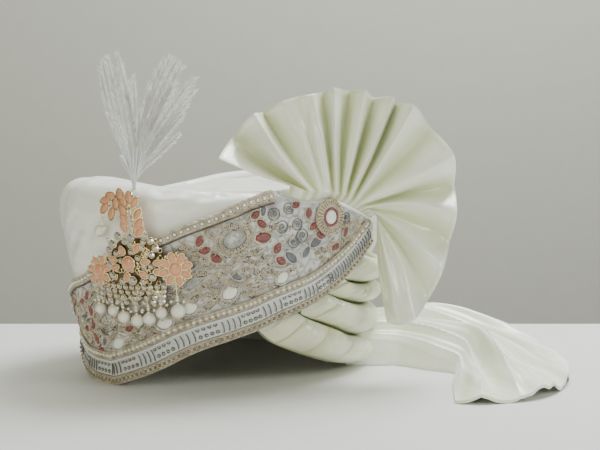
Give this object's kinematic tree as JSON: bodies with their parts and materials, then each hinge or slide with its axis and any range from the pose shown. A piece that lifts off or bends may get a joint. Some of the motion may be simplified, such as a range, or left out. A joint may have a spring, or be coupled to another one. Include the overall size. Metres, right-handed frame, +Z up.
{
  "type": "tied turban",
  "caption": "Ready-tied satin turban with a wound crown, back rolls, pleated fan, loose tail, embroidered band, jewelled brooch with pearl drops and a feather plume.",
  "frame": {"origin": "centre of the footprint's box, on the table that it rests on", "axes": "+Z up; the band's front tip, where the brooch sits, faces -Y; +X to the wearer's left, where the fan and the tail are"},
  "size_m": [0.3554, 0.322, 0.2305],
  "materials": {
    "satin": "ivory satin, soft sheen",
    "inner_satin": "plain ivory cloth, wound",
    "embroidery": "ivory ground with thread embroidery",
    "lace": "beige metallic lace with small beads",
    "silver_lace": "silver lace with dark rungs",
    "enamel": "peach enamel in pale gold rims",
    "gold": "pale gold with clear cut stones",
    "pearl": "pearl lustre",
    "feather": "white feather, loose barbs"
  },
  "bodies": {
    "root": {"back_wrap": "satin", "band_panel": "embroidery", "bead_lace": "lace", "brooch_plate": "gold", "crown": "inner_satin", "edge_lace": "lace", "end_lace": "lace", "fan": "satin", "flower_centre": "enamel", "flower_left": "enamel", "flower_right": "enamel", "front_wrap": "satin", "hook_pearl": "pearl", "ladder_lace": "silver_lace", "medallion": "lace", "pearl_1": "pearl", "pearl_2": "pearl", "pearl_3": "pearl", "pearl_4": "pearl", "pearl_5": "pearl", "pearl_6": "pearl", "pearl_7": "pearl", "plume": "feather", "roll_1": "satin", "roll_2": "satin", "roll_3": "satin", "roll_4": "satin", "stem": "enamel", "tail": "satin", "upper_lace": "lace"}
  },
  "joints": []
}
